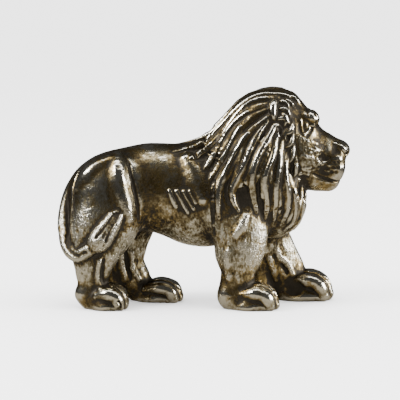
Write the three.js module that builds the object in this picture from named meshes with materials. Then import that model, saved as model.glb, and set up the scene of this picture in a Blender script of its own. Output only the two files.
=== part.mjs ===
// A small cast metal lion that stands with its left legs forward, in millimetres, +Z up.
// The nose points along +X and the lion's left side faces +Y. The origin is on the ground
// under the middle of the figure. The figure is one solid casting: it is modelled as round
// masses and tapering limbs that run into each other with soft seams, with the locks of the
// mane and the toes laid on top and the creases cut in, and that form is then faceted.

import * as THREE from "three";

// Driving dimensions
const LENGTH = 62; // from the nose to the back of the tail
const HEIGHT = 46.6; // from the ground to the crown of the mane
const WIDTH = 21.7; // across the feet
const LOCK_THICKNESS = 3; // across a full lock of the mane
const LOCK_FULLNESS = 0.42; // half a lock's thickness, as a share of the room it has
const LOCK_PROUD = 1.05; // how far a lock stands above the mane's mass
const TAIL_THICKNESS = 2.9;
const HAUNCH_BAND = 4.2; // across the raised band down the front of the haunch
const HAUNCH_BAND_PROUD = 0.6;
const BLADE_WIDTH = 4; // across the shoulder blade
const BLADE_PROUD = 0.55;
const RIB_WIDTH = 1.4;
const RIB_PROUD = 0.5;
const CREASE_WIDTH = 0.9; // across a carved line
const CREASE_DEPTH = 0.5;
const SEAM = 1.1; // how softly one mass runs into the next

// Fineness of the faceted surface
const GRID = 0.6; // the grid on which the form is sampled
const BLOCK = 3; // side of the cubes of the grid that are sampled together
const FACETS = 9400; // triangles that are kept, where they matter most
const SOLE_SNAP = 0.1; // points this near the ground belong to the flat soles
const EVENNESS = 0.002; // how much short edges are chosen before long ones
const THINNEST = 0.04; // the thinnest triangle, as its area by its edges squared
const TURN = 0.3; // cosine of the furthest that a triangle may turn
const PASS = 0.8; // share of the triangles that are left by one pass

const METAL = "#8c8068"; // worn white metal with a brown patina

// The pose and the proportions are in hundredths of the length, and in the same
// shares of the height and of the width.
const LONG = LENGTH / 100;
const TALL = HEIGHT / 75;
const WIDE = WIDTH / 35;
const at = (x, y, z) => new THREE.Vector3(x * LONG, y * WIDE, z * TALL);

const forms = []; // everything that makes up the lion, in the order it is laid on

// Softly joined minimum of two distances.
function fuse(a, b, seam) {
  const overlap = Math.max(seam - Math.abs(a - b), 0);
  return Math.min(a, b) - (overlap * overlap) / (4 * seam);
}

// A round mass: an ellipsoid with its half sizes along X, Y and Z, leaning nose-down by
// tilt degrees.
function mass(place, half, { seam = SEAM, sides = "one", cut = false, tilt = 0 } = {}) {
  const centre = at(...place);
  const radii = at(...half);
  const cos = Math.cos(THREE.MathUtils.degToRad(tilt));
  const sin = Math.sin(THREE.MathUtils.degToRad(tilt));
  const distance = (x, y, z) => {
    const dx = x - centre.x;
    const dz = z - centre.z;
    const u = (dx * cos - dz * sin) / radii.x;
    const v = (y - centre.y) / radii.y;
    const w = (dx * sin + dz * cos) / radii.z;
    const near = Math.hypot(u, v, w);
    const slope = Math.hypot(u / radii.x, v / radii.y, w / radii.z);
    return slope > 0 ? (near * (near - 1)) / slope : -Math.min(radii.x, radii.y, radii.z);
  };
  forms.push({ centre, reach: Math.max(radii.x, radii.y, radii.z), distance, seam, sides, cut });
}

// A limb: a rope of balls along a smooth curve through stations [x, y, z, radius]. With a
// flatness under 1 it is that much thinner from side to side.
function limb(stations, { seam = SEAM, sides = "one", cut = false, steps = 4, flatness = 1 } = {}) {
  const path = new THREE.CatmullRomCurve3(stations.map(([x, y, z]) => at(x, y, z)));
  const thickness = new THREE.CatmullRomCurve3(
    stations.map((station) => new THREE.Vector3(station[3] * LONG, 0, 0)),
  );
  const count = (stations.length - 1) * steps;
  rope(path.getPoints(count), thickness.getPoints(count).map((p) => p.x), {
    seam, sides, cut, flatness,
  });
}

// The rope itself, from its points and its radii in millimetres.
function rope(points, radii, { seam, sides, cut = false, flatness = 1 }) {
  const centre = new THREE.Box3().setFromPoints(points).getCenter(new THREE.Vector3());
  const reach = Math.max(...points.map((p, i) => p.distanceTo(centre) + radii[i]));
  const distance = (x, y, z) => {
    let best = Infinity;
    for (let i = 0; i + 1 < points.length; i++) {
      const a = points[i];
      const b = points[i + 1];
      const [bx, by, bz] = [b.x - a.x, b.y - a.y, b.z - a.z];
      const along = (x - a.x) * bx + (y - a.y) * by + (z - a.z) * bz;
      const share = Math.min(Math.max(along / (bx * bx + by * by + bz * bz), 0), 1);
      const dx = x - a.x - bx * share;
      const dy = (y - a.y - by * share) / flatness;
      const dz = z - a.z - bz * share;
      const radius = radii[i] + (radii[i + 1] - radii[i]) * share;
      best = Math.min(best, Math.sqrt(dx * dx + dy * dy + dz * dz) - radius);
    }
    return best;
  };
  forms.push({ centre, reach, distance, seam, sides, cut });
}

// Distance from the surface of these forms, negative inside the metal.
function surface(x, y, z, these = forms) {
  let d = LENGTH;
  for (const form of these) {
    const side = form.sides === "both" ? Math.abs(y) : y;
    const gap = Math.hypot(x - form.centre.x, side - form.centre.y, z - form.centre.z) - form.reach;
    if (form.cut) {
      if (gap < form.seam - d) d = -fuse(-d, form.distance(x, side, z), form.seam);
    } else if (gap < d + form.seam) d = fuse(d, form.distance(x, side, z), form.seam);
  }
  return Math.max(d, -z);
}

// Moves a point onto the forms laid so far, or to a height above them.
function drape(point, height) {
  const step = 0.05;
  const turns = 8;
  const flattest = 0.1;
  for (let turn = 0; turn < turns; turn++) {
    const { x, y, z } = point;
    const slope = new THREE.Vector3(
      surface(x + step, y, z) - surface(x - step, y, z),
      surface(x, y + step, z) - surface(x, y - step, z),
      surface(x, y, z + step) - surface(x, y, z - step),
    ).divideScalar(2 * step);
    const error = surface(x, y, z) - height;
    point.addScaledVector(slope, -error / Math.max(slope.lengthSq(), flattest));
  }
  return point;
}

// A ridge that lies on the forms laid so far, thickest in its middle, on the left (1) or
// the right (-1) side. As a cut it is a carved line.
function ridge(places, thickness, proud, { side = 1, cut = false, steps = 4, seam = 0.3 } = {}) {
  const path = new THREE.CatmullRomCurve3(places.map(([x, y, z]) => at(x, side * y, z)));
  const count = (places.length - 1) * steps;
  const radii = [];
  const points = path.getPoints(count).map((point, i) => {
    const swell = Math.sin(Math.PI * (0.12 + 0.76 * (i / count)));
    const radius = (thickness / 2) * (0.35 + 0.65 * swell);
    radii.push(radius);
    return drape(point, cut ? radius - proud : proud - radius);
  });
  rope(points, radii, { seam, sides: "one", cut });
}

// A carved line.
function crease(places, side = 1) {
  ridge(places, CREASE_WIDTH, CREASE_DEPTH, { side, cut: true });
}

// The body: ribs, loin, rump, and the seat under the tail.
function body() {
  mass([0, 0, 37.6], [22, 13.2, 17.8], { seam: 3 });
  mass([-17, 0, 40.8], [17.4, 11.5, 14.6], { seam: 3 });
  mass([-30.4, 0, 38], [15.2, 12.3, 14.6], { seam: 3, tilt: -14 });
  limb([[-38, 0, 36, 8.4], [-39.5, -1.5, 26, 6.4]], { seam: 3 });
}

// The hind legs: the right one stands back under the rump, the left one steps forward.
function hindLegs() {
  limb([[-32, -7.5, 41, 11], [-33, -8.5, 31, 11.6], [-36, -10, 22, 9], [-37.4, -11, 14.5, 6.3],
    [-37.4, -11, 8, 5], [-37, -11, 4, 5]], { seam: 2.5, flatness: 0.66 });
  limb([[-28, 7, 40, 11.5], [-26.4, 8, 31, 10.6], [-27, 8, 21, 7.8], [-27.6, 7.5, 14, 6.9],
    [-25, 7.5, 8, 6.4], [-22, 7.5, 4, 5]], { seam: 2, flatness: 0.7 });
  limb([[-31, 7, 18, 4.5], [-33, 6, 10, 3.6], [-32.5, 6, 4, 3.6]], { seam: 2 }); // left heel
  limb([[-40.8, -11, 5, 2.8], [-34, -11, 3.6, 3.4]], { seam: 1.5 }); // right heel
  paw([-32.6, -11, 0], 7.6, 9);
  paw([-16.3, 6.6, 0], 9.6, 7.8);
}

// The forelegs: the right one stands straight, the left one reaches forward.
function foreLegs() {
  limb([[8, -8, 38, 10], [12.2, -9.5, 26.5, 9.6], [12.2, -10.5, 19, 8.2], [11.8, -11, 13, 6],
    [11.4, -11, 8, 5.8], [11.5, -11, 4, 5.6]], { seam: 2, flatness: 0.68 });
  limb([[16, 7, 35, 10], [19.6, 8, 25, 9.2], [24.6, 9, 16, 8], [28.6, 9.5, 9.5, 7],
    [30, 9.5, 5, 6]], { seam: 2, flatness: 0.72 });
  limb([[20, 8, 20, 5], [19, 7.5, 11, 4], [20, 7.5, 4, 4]], { seam: 2 }); // left heel
  limb([[8.6, -11, 4.4, 3.8], [14, -11, 3.8, 4.4]], { seam: 1.5 }); // right heel
  mass([12.6, -14, 31], [4, 2.4, 5.4], { seam: 0.8, tilt: 24 }); // right elbow
  paw([16.5, -11.2, 0], 9.4, 8.8);
  paw([34.6, 9.5, 0], 11.4, 11.2);
}

// A paw that stands on the ground: a low pad with four toes in front of it, each a knuckle
// that bends down to its tip. It reaches ahead of its place by about its length.
function paw([x, y], length, height) {
  mass([x - length * 0.1, y, height * 0.2], [length * 0.9, 6, height * 0.42], { seam: 1.4 });
  for (const across of [-1.5, -0.5, 0.5, 1.5]) {
    const middle = 1 - 0.06 * across * across;
    const side = y + across * 3.3;
    limb([[x - length * 0.3, y + across * 2.4, height * 0.6, 2],
      [x + length * 0.46 * middle, side, height * 0.7 * middle, 2.3],
      [x + length * 0.82 * middle, side, height * 0.28, 2]], { seam: 0.1 });
  }
}

// The tail hangs down the rump, turns forward under the right thigh, and ends in a tuft
// that lies on the thigh like a leaf, with grooves between its strands of hair.
function tail() {
  const radius = TAIL_THICKNESS / 2 / LONG;
  const line = [[-36, 0, 48.5], [-42, -0.5, 44], [-46, -2, 37], [-47.4, -4.5, 28.5],
    [-46, -9.5, 21], [-42.4, -13.5, 18.4], [-38.4, -16, 20.6]];
  limb(line.map((place) => [...place, radius]), { seam: 0.5 });
  limb([[-37.8, -15.8, 21, 2], [-34.4, -16, 24.4, 4], [-31, -15.2, 29.5, 3.4],
    [-26.4, -13.4, 35.6, 0.8]], { seam: 0.3 });
  crease([[-33.6, 20, 22.2], [-30, 19, 28.4], [-27.2, 16, 33.6]], -1);
  crease([[-36.6, 20, 24.8], [-33, 19, 29.8], [-28.8, 16, 34.6]], -1);
}

// The ribs that show on a flank: where each starts, how far forward it leans, and how low
// it ends.
const RIBS = [[-11.4, 2, 34.6], [-9, 3.6, 32.6], [-6.7, 3.3, 34], [-4.6, 2, 36.2]];
const RIB_TOP = 40;

// The muscles that show on the flanks: the front edge of the haunch, the shoulder blade,
// the edge of the shoulder, and the ribs.
function muscles() {
  for (const side of [1, -1]) {
    ridge([[-29, 8, 52.4], [-28.6, 13, 45], [-26.4, 14, 36], [-25, 14, 31]],
      HAUNCH_BAND, HAUNCH_BAND_PROUD, { side, seam: 0.8 });
    crease([[-25.4, 10, 51.6], [-24.4, 12, 44], [-22.4, 12, 34.6], [-21.4, 12, 29]], side);
    ridge([[-6.4, 11, 51.6], [-3.4, 13, 45.6], [-0.8, 13, 39]],
      BLADE_WIDTH, BLADE_PROUD, { side, seam: 0.8 });
    crease([[1.2, 11, 55], [2.8, 14, 48], [3.2, 14, 38], [3, 13, 25.6]], side);
    for (const [x, forward, low] of RIBS) {
      ridge([[x, 13, RIB_TOP], [x + forward / 2, 13, (RIB_TOP + low) / 2], [x + forward, 13, low]],
        RIB_WIDTH, RIB_PROUD, { side, seam: 0.15 });
    }
    crease([[-42.4, 5, 49.6], [-43.4, 8, 41], [-43.6, 10, 31]], side);
  }
}

// The skull, muzzle and jaw, with the brows, the eyes, the nostrils and the mouth.
function head() {
  const pair = { sides: "both" };
  mass([30.5, 0, 57.8], [9.6, 10, 10], { seam: 2 });
  mass([36, 4, 63.4], [3.4, 3.6, 2.6], { ...pair, seam: 1 }); // brow
  mass([33, 6, 51.6], [6, 4.2, 6.6], { ...pair, seam: 1.5 }); // cheek
  limb([[34, 0, 57, 4.8], [41, 0, 55, 4.2], [45.4, 0, 53.4, 3.4]],
    { seam: 1.5, flatness: 1.35 }); // bridge of the nose
  limb([[33, 0, 52, 8], [39, 0, 50.4, 6.6], [43, 0, 49, 4.8]],
    { seam: 1.5, flatness: 1.08 }); // muzzle
  mass([47, 0, 53.4], [2.9, 4, 2.5], { seam: 0.5 }); // nose
  mass([44.4, 3, 47.2], [3.8, 3.3, 4.7], { ...pair, seam: 1.4 }); // pads beside the nose
  limb([[31, 0, 45.2, 5.6], [38, 0, 43, 4.3], [42.4, 0, 42.3, 3.6]],
    { seam: 0.5, flatness: 1.15 }); // jaw
  mass([34.8, 8.4, 61.6], [3, 2.2, 2.2], { ...pair, cut: true, seam: 0.6 }); // eye socket
  mass([34.4, 6.7, 61.4], [1.9, 1.5, 1.9], { ...pair, seam: 0.2 }); // eye
  mass([49, 1.9, 52], [1.3, 1, 1], { ...pair, cut: true, seam: 0.3 }); // nostril
  for (const side of [1, -1]) {
    crease([[47.2, 1, 43.2], [43, 5, 43.6], [37, 7, 45.6]], side); // mouth
    crease([[44.6, 4, 54.6], [41.4, 6.6, 51.6], [39, 8, 47.6]], side); // fold behind the pads
    crease([[36.6, 5.6, 62.4], [35, 7, 60], [33.2, 8, 57.6]], side); // below the eye
  }
}

// The mane's mass, under its locks.
function maneMass() {
  mass([21.5, 0, 61], [13, 12, 12.4], { seam: 2 });
  mass([27, 0, 65], [7.4, 9, 8.2], { seam: 2 });
  mass([17.5, 0, 47], [14, 16, 20], { seam: 2 });
  mass([23.6, 0, 36.6], [10, 12, 14], { seam: 2 });
  limb([[14, 0, 56.2, 8], [4, 0, 47.6, 8], [-6, 0, 45.8, 6]], { seam: 3 }); // nape
}

// The mane's flow on one side, from the forehead and the nape round to the chest: each
// line runs from the root of a lock over the mane to its tip.
const FLOW = [
  [[36, 0, 67], [31, 0, 73.6], [21, 0, 75.4], [10, 0, 69], [1, 0, 59], [-9, 0, 55.6]],
  [[34.6, 4, 67.6], [26, 6, 73.6], [16, 7, 72.4], [7.4, 8, 66.4], [-0.6, 8, 57.4], [-10, 7, 53.8]],
  [[26, 8, 72], [16.4, 9, 71], [7.6, 10, 65], [1.4, 11, 57.4], [-3, 12, 52]],
  [[23.4, 10, 70], [14.6, 10, 66.6], [7.6, 11, 61.6], [3, 12, 55.6], [0.2, 13, 49]],
  [[22.6, 11, 68.2], [14.6, 11, 63.6], [9, 13, 58.2], [4.8, 14, 51.4], [2.6, 14, 44]],
  [[22, 12, 65.4], [15.9, 12, 61], [11.6, 14, 55], [7.4, 15, 46], [4.6, 16, 40.6], [4.3, 15, 32]],
  [[21.4, 12, 63], [17, 13, 57], [13.2, 15, 50], [11, 16, 44.4], [10.2, 16, 39.6], [12.4, 15, 33.6]],
  [[23.8, 12, 62.4], [21.8, 13, 57.6], [18.6, 15, 52], [16.6, 16, 45], [15.6, 16, 40], [17.4, 15, 33.4]],
  [[25, 12, 60.4], [23.4, 13, 55.6], [21.4, 15, 50], [20.6, 16, 44], [21.6, 16, 38.6], [20.8, 14, 31]],
  [[27.2, 11, 58.6], [25.6, 13, 53.4], [24.3, 14, 48], [24, 15, 42.6], [25, 14, 37], [24.2, 12, 29.6]],
  [[28.6, 11, 54.6], [27.4, 12, 49.6], [27.4, 12, 44.6], [28.2, 12, 39.8], [27.8, 11, 34.6], [26.4, 10, 28]],
  [[30.8, 9, 48], [30.2, 9, 43.6], [30.4, 9, 39.6], [30.4, 9, 35.4], [29.6, 8, 31], [27.8, 7, 26]],
  [[33.2, 5, 41.6], [33.6, 5, 38.6], [33.4, 5, 35.4], [32.2, 5, 31.6], [30.6, 4, 28], [28.6, 3, 24.6]],
  [[34, 0, 40.4], [34.2, 0, 37.6], [33.6, 0, 34], [32.4, 0, 30.6], [30.8, 0, 27.4], [28.6, 0, 24.6]],
];
const LOCK_STEPS = 14;

// The ear and the short locks between it and the face, down to the cheek: where each
// starts and where it ends.
const RUFF = [
  [[24, 11, 73], [23.4, 12, 64]],
  [[26.4, 10, 71.6], [29.2, 9, 68]],
  [[26.4, 11, 68], [29.6, 10, 65]],
  [[26, 11, 64.4], [29.4, 10, 62]],
  [[30, 10, 61.6], [26.6, 11, 58.4]],
  [[30.2, 10, 57.6], [26.6, 12, 54]],
  [[29.8, 10, 53.4], [27.4, 12, 48.6]],
  [[31, 9, 49.6], [29.4, 10, 43]],
];

// Lays the ear, the ruff and the locks. They are all draped on the mane's mass before any
// is laid. A lock is as wide as the flow there, and comes to a point at its tip.
function mane() {
  const lines = FLOW.map((line) => {
    const path = new THREE.CatmullRomCurve3(line.map((place) => at(...place)));
    return path.getPoints(LOCK_STEPS);
  });
  const flow = (step, i) => {
    const line = THREE.MathUtils.clamp(Math.floor(step), 0, lines.length - 2);
    const share = THREE.MathUtils.clamp(step, 0, lines.length - 1) - line;
    return lines[line][i].clone().lerp(lines[line + 1][i], share);
  };
  const locks = [];
  const drapeLock = (path, half, side) => {
    const points = [];
    const radii = [];
    for (let i = 0; i <= LOCK_STEPS; i++) {
      const share = i / LOCK_STEPS;
      const radius = half(i) * (0.25 + 0.75 * Math.sin(Math.PI * (0.1 + 0.82 * share)));
      const point = path(i, share);
      const rise = LOCK_PROUD * Math.min(1, 0.3 + 3 * share) * (1 - 0.7 * share ** 6);
      radii.push(radius);
      points.push(drape(point.setY(side * point.y), rise - radius));
    }
    locks.push([points, radii]);
  };
  for (const side of [1, -1]) {
    for (let line = 0; line < lines.length; line++) {
      if (line === 0 && side < 0) continue;
      const room = (i) => flow(line - 0.5, i).distanceTo(flow(line + 0.5, i));
      const half = (i) => THREE.MathUtils.clamp(LOCK_FULLNESS * room(i),
        LOCK_THICKNESS * 0.25, LOCK_THICKNESS * 0.45);
      drapeLock((i) => flow(line, i), half, side);
    }
    for (const [root, tip] of RUFF) {
      const start = at(...root);
      const end = at(...tip);
      drapeLock((i, share) => start.clone().lerp(end, share), () => LOCK_THICKNESS * 0.36, side);
    }
  }
  for (const [points, radii] of locks) rope(points, radii, { seam: 0.12, sides: "one" });
}

body();
hindLegs();
foreLegs();
head();
maneMass();
muscles();
mane();
tail();

// The form's distances on a grid. A block of the grid that is well inside or outside the
// metal takes one distance for all of its points; in the others only the forms near the
// block are measured.
function sample() {
  const low = at(-53, -22, -1.3);
  const size = at(53, 20, 78).sub(low).divideScalar(GRID).ceil().addScalar(1);
  const values = new Float32Array(size.x * size.y * size.z);
  const block = Math.max(Math.round(BLOCK / GRID), 1);
  const reach = (GRID * block * Math.sqrt(3)) / 2;
  const middle = new THREE.Vector3();
  for (let i0 = 0; i0 < size.x; i0 += block) {
    for (let j0 = 0; j0 < size.y; j0 += block) {
      for (let k0 = 0; k0 < size.z; k0 += block) {
        middle.set(i0, j0, k0).addScalar((block - 1) / 2).multiplyScalar(GRID).add(low);
        const between = surface(middle.x, middle.y, middle.z);
        const far = Math.abs(between) > reach * 2;
        const near = far ? [] : forms.filter((form) => {
          const side = form.sides === "both" ? Math.abs(middle.y) : middle.y;
          const gap = Math.hypot(middle.x - form.centre.x, side - form.centre.y,
            middle.z - form.centre.z) - form.reach;
          return gap < Math.abs(between) + form.seam + reach * 2;
        });
        for (let i = i0; i < Math.min(i0 + block, size.x); i++) {
          for (let j = j0; j < Math.min(j0 + block, size.y); j++) {
            for (let k = k0; k < Math.min(k0 + block, size.z); k++) {
              values[(i * size.y + j) * size.z + k] = far ? between
                : surface(low.x + i * GRID, low.y + j * GRID, low.z + k * GRID, near);
            }
          }
        }
      }
    }
  }
  return { low, size, values };
}

// Corner numbers of a grid cell hold one bit each for X, Y and Z. These are the cell's
// edges, and its sides as corners in order round each.
const CORNERS = [0, 1, 2, 3, 4, 5, 6, 7];
const EDGES = CORNERS.flatMap((corner) => [1, 2, 4].filter((bit) => !(corner & bit))
  .map((bit) => [corner, corner | bit]));
const SIDES = [[0, 1, 3, 2], [4, 5, 7, 6], [0, 1, 5, 4], [2, 3, 7, 6], [0, 2, 6, 4], [1, 3, 7, 5]];

// Fills grid points with metal where it would meet itself only along an edge or at a
// corner, so that the surface is a closed skin everywhere.
function firm({ low, size, values }) {
  const step = (bits) => (bits & 1) * size.y * size.z + ((bits >> 1) & 1) * size.z + (bits >> 2);
  const steps = CORNERS.map(step);
  const filled = -GRID / 20;
  let cells = [];
  for (let id = 0; id + steps[7] < values.length; id++) {
    const metal = steps.filter((offset) => values[id + offset] < 0).length;
    if (metal > 0 && metal < 8) cells.push(id);
  }
  for (let open = true; open;) {
    open = false;
    for (const id of cells) {
      const inside = (corner) => values[id + steps[corner]] < 0;
      const fill = SIDES.filter(([a, b, c, d]) => inside(a) === inside(c) && inside(b) === inside(d)
        && inside(a) !== inside(b)).flat();
      const metal = CORNERS.filter(inside);
      const air = CORNERS.filter((corner) => !inside(corner));
      if ([metal, air].some((few) => few.length === 2 && few[0] + few[1] === 7)) fill.push(...CORNERS);
      for (const corner of fill) {
        if (inside(corner)) continue;
        values[id + steps[corner]] = filled;
        open = true;
      }
    }
    if (open) {
      cells = [...new Set(cells.flatMap((id) => CORNERS.flatMap((from) => CORNERS.map(
        (to) => id + steps[from] - steps[to]))))];
    }
  }
  return { low, size, values };
}

// The surface as triangles: a point in each grid cell that it passes through, and two
// triangles across each grid edge that it crosses.
function facet({ low, size, values }) {
  const stride = [size.y * size.z, size.z, 1];
  const points = [];
  const faces = [];
  const known = new Map();
  const pointIn = (id) => {
    if (!known.has(id)) {
      const corner = (bits) => id + (bits & 1) * stride[0] + ((bits >> 1) & 1) * stride[1]
        + (bits >> 2);
      const sum = new THREE.Vector3();
      let crossings = 0;
      for (const [from, to] of EDGES) {
        const [a, b] = [values[corner(from)], values[corner(to)]];
        if (a < 0 === b < 0) continue;
        const [start, end] = [from, to].map(
          (bits) => new THREE.Vector3(bits & 1, (bits >> 1) & 1, bits >> 2));
        sum.add(start.lerp(end, a / (a - b)));
        crossings += 1;
      }
      sum.divideScalar(crossings);
      sum.x += Math.floor(id / stride[0]);
      sum.y += Math.floor(id / stride[1]) % size.y;
      sum.z += id % size.z;
      known.set(id, points.length);
      points.push(sum.multiplyScalar(GRID).add(low));
    }
    return known.get(id);
  };
  for (let id = stride[0] + stride[1] + 1; id < values.length - stride[0]; id++) {
    const inside = values[id] < 0;
    for (let axis = 0; axis < 3; axis++) {
      if (inside === values[id + stride[axis]] < 0) continue;
      const [u, v] = [stride[(axis + 1) % 3], stride[(axis + 2) % 3]];
      const round = [id - u - v, id - v, id, id - u].map(pointIn);
      if (!inside) round.reverse();
      const [a, b, c, d] = round;
      const [first, second] = [points[a].distanceTo(points[c]), points[b].distanceTo(points[d])];
      if (first < second) faces.push([a, b, c], [a, c, d]);
      else faces.push([a, b, d], [b, c, d]);
    }
  }
  return { points, faces };
}

// Joins the ends of edges, those first that lie flattest on the surface round them, until
// only so many triangles are left. What an edge costs is its distance, squared, from the
// planes of all the triangles that it stands for.
function simplify({ points, faces }, target) {
  const around = points.map(() => new Set());
  const planes = points.map(() => new Float64Array(10));
  const corner = (face, i) => points[face[i]];
  const normalOf = (a, b, c) => b.clone().sub(a).cross(c.clone().sub(a));
  faces.forEach((face, index) => {
    const normal = normalOf(corner(face, 0), corner(face, 1), corner(face, 2));
    const area = normal.length();
    normal.divideScalar(area || 1);
    const offset = -normal.dot(corner(face, 0));
    const { x, y, z } = normal;
    const plane = [x * x, x * y, x * z, x * offset, y * y, y * z, y * offset, z * z, z * offset,
      offset * offset];
    for (const point of face) {
      around[point].add(index);
      plane.forEach((value, i) => { planes[point][i] += value * area; });
    }
  });
  const solver = new THREE.Matrix3();
  const weigh = (a, b) => {
    const q = planes[a].map((value, i) => value + planes[b][i]);
    const place = points[a].clone().add(points[b]).multiplyScalar(0.5);
    const slack = EVENNESS * (q[0] + q[4] + q[7]);
    const pull = [-q[3] + slack * place.x, -q[6] + slack * place.y, -q[8] + slack * place.z];
    solver.set(q[0] + slack, q[1], q[2], q[1], q[4] + slack, q[5], q[2], q[5], q[7] + slack);
    if (solver.determinant() > 0) place.set(...pull).applyMatrix3(solver.invert());
    const { x, y, z } = place;
    const cost = q[0] * x * x + q[4] * y * y + q[7] * z * z + q[9]
      + 2 * (q[1] * x * y + q[2] * x * z + q[5] * y * z + q[3] * x + q[6] * y + q[8] * z);
    const length = points[a].distanceToSquared(points[b]);
    return { a, b, place, q, cost: cost + EVENNESS * length * (q[0] + q[4] + q[7]) };
  };
  const neighbours = (point) => new Set([...around[point]].flatMap((index) => faces[index]));
  const allowed = ({ a, b, place }) => {
    const ring = neighbours(b);
    if ([...neighbours(a)].filter((point) => ring.has(point)).length !== 4) return false;
    for (const [point, other] of [[a, b], [b, a]]) {
      for (const index of around[point]) {
        const face = faces[index];
        if (face.includes(other)) continue;
        const before = normalOf(...face.map((p) => points[p])).normalize();
        const after = face.map((p) => (p === point ? place : points[p]));
        const normal = normalOf(...after);
        const area = normal.length();
        const edges = after.reduce((sum, p, i) => sum + p.distanceToSquared(after[(i + 1) % 3]), 0);
        if (area < THINNEST * edges || normal.dot(before) < TURN * area) return false;
      }
    }
    return true;
  };
  let left = faces.length;
  while (left > target) {
    const edges = [];
    for (const face of faces) {
      if (!face) continue;
      face.forEach((a, i) => {
        const b = face[(i + 1) % 3];
        if (a < b) edges.push(weigh(a, b));
      });
    }
    edges.sort((one, two) => one.cost - two.cost);
    const goal = Math.max(target, Math.floor(left * PASS));
    const moved = new Set();
    for (const edge of edges) {
      if (left <= goal) break;
      const { a, b } = edge;
      if (moved.has(a) || moved.has(b) || !allowed(edge)) continue;
      for (const point of [...neighbours(a), ...neighbours(b)]) moved.add(point);
      for (const index of [...around[b]]) {
        const face = faces[index];
        if (face.includes(a)) {
          for (const point of face) around[point].delete(index);
          faces[index] = null;
          left -= 1;
        } else {
          face[face.indexOf(b)] = a;
          around[a].add(index);
        }
      }
      around[b].clear();
      points[a].copy(edge.place);
      planes[a] = edge.q;
    }
    if (moved.size === 0) break;
  }
  return { points, faces: faces.filter((face) => face) };
}

// Leaves out anything that isn't joined to the face of the surface that is highest up.
function whole({ points, faces }) {
  const around = points.map(() => []);
  faces.forEach((face, index) => face.forEach((point) => around[point].push(index)));
  const top = points.reduce((best, point, i) => (point.z > points[best].z ? i : best), 0);
  const kept = new Set(around[top]);
  for (const index of kept) {
    for (const point of faces[index]) for (const next of around[point]) kept.add(next);
  }
  return { points, faces: [...kept].map((index) => faces[index]) };
}

// The lion as one mesh: the simplified surface, with its soles flat on the ground and the
// middle of its box over the origin.
function lion() {
  const { points, faces } = simplify(whole(facet(firm(sample()))), FACETS);
  for (const point of points) {
    if (point.z < SOLE_SNAP) point.z = 0;
  }
  const used = [...new Set(faces.flat())];
  const box = new THREE.Box3().setFromPoints(used.map((index) => points[index]));
  const middle = box.getCenter(new THREE.Vector3());
  const order = new Map(used.map((index, i) => [index, i]));
  const geometry = new THREE.BufferGeometry();
  const places = used.flatMap((index) => {
    const { x, y, z } = points[index];
    return [x - middle.x, y - middle.y, z];
  });
  geometry.setAttribute("position", new THREE.Float32BufferAttribute(places, 3));
  geometry.setIndex(faces.flat().map((index) => order.get(index)));
  geometry.computeVertexNormals();
  const metal = new THREE.MeshStandardMaterial({ color: METAL, roughness: 0.3, metalness: 1 });
  const mesh = new THREE.Mesh(geometry, metal);
  mesh.name = "lion";
  return mesh;
}

export default new THREE.Group().add(lion());
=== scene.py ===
"""A small cast metal lion, plated, darkened in its recesses and rubbed bright.

The figure is one casting, so the scene has one piece. It starts from a copy of the
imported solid, which is skinned over with fine quads, and those are then carved: they are
moved onto the form that the chaser of such a casting leaves, lock by lock and line by
line. Lengths in this file are millimetres until a piece is finished, then metres.
"""
import logging
import math
from dataclasses import dataclass, field
from enum import Enum

import bmesh
import bpy
import numpy as np
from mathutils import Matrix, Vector


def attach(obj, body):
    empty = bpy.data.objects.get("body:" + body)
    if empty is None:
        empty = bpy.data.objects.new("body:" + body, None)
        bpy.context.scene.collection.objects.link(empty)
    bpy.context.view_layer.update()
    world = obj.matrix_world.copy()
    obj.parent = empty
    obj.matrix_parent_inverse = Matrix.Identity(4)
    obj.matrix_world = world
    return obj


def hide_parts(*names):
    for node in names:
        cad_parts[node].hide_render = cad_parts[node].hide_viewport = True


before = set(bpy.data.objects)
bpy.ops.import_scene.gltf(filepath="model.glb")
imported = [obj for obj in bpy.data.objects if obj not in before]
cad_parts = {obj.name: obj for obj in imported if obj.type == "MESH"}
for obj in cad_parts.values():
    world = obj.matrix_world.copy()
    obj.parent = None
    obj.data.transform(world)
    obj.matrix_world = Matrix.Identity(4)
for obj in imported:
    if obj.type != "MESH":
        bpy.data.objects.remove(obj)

log = logging.getLogger("lion")

MM = 0.001
LENGTH = 62.0  # nose to tail
HEIGHT = 46.6  # ground to crown
WIDTH = 21.7  # across the feet
SHARE = np.array([LENGTH / 100, WIDTH / 35, HEIGHT / 75])  # one share along X, Y and Z
CENTRED = np.array([0.052, -0.710, 0.0])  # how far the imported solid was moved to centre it
SEAM = 1.1  # how softly one mass runs into the next


class Side(Enum):
    """Which side of the lion a form is on."""

    ONE = "one"
    BOTH = "both"


class Work(Enum):
    """Whether a form adds metal or carves it away."""

    ADD = "add"
    CUT = "cut"


def at(*place: float) -> np.ndarray:
    """Turns a place in shares of the lion's size into millimetres.

    Args:
        place: X in hundredths of the length, Y in 35ths of the width, Z in 75ths of the height.

    Returns:
        The place in millimetres.
    """
    return np.array(place, float) * SHARE


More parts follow.
